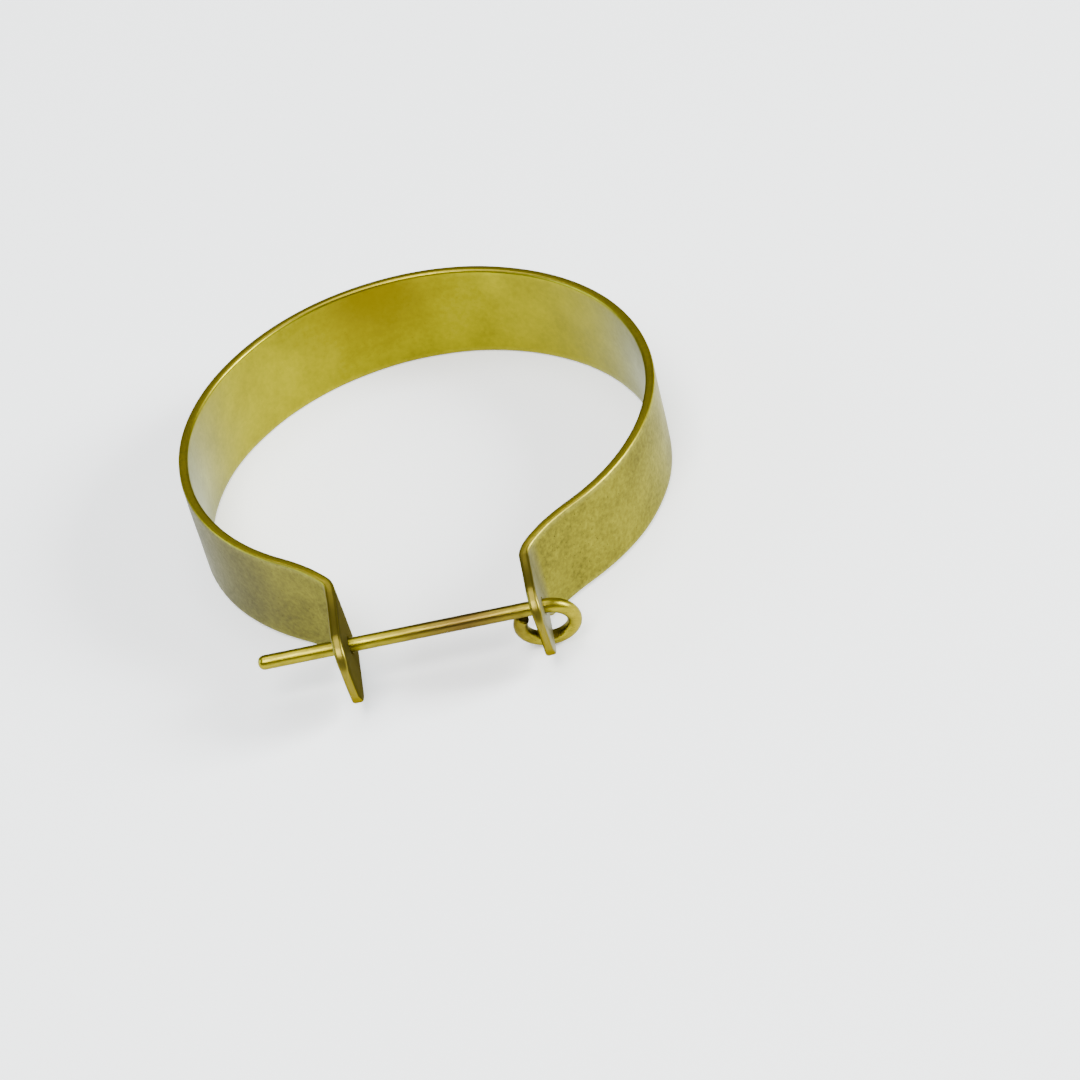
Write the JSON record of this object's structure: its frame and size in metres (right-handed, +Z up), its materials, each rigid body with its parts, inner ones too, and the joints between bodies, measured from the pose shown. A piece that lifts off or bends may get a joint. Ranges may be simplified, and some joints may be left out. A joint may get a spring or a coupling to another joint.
{
  "type": "hoop earring",
  "caption": "Wide flat-strip hoop earring with two pierced end tabs and a straight ear wire that swings in one tab on a curled ring and passes through the other.",
  "frame": {"origin": "middle of the earring's box, on the surface that the hoop lies on", "axes": "+X along the ear wire toward its curled ring, +Y from the open side toward the back of the hoop, +Z up out of the hoop's flat side"},
  "size_m": [0.0342, 0.04, 0.0076],
  "materials": {
    "hoop_band": "satin, lightly aged",
    "ear_wire": "drawn and lightly polished"
  },
  "bodies": {
    "hoop": {"hoop_band": "hoop_band"},
    "ear_wire": {"ear_wire": "ear_wire"}
  },
  "joints": [
    {"name": "ear_wire_swing", "type": "hinge", "parent": "hoop", "child": "ear_wire", "pos_m": [0, -0.01595, 0.00412], "axis": [1, 0, 0], "range_deg": [-37, 5]}
  ]
}
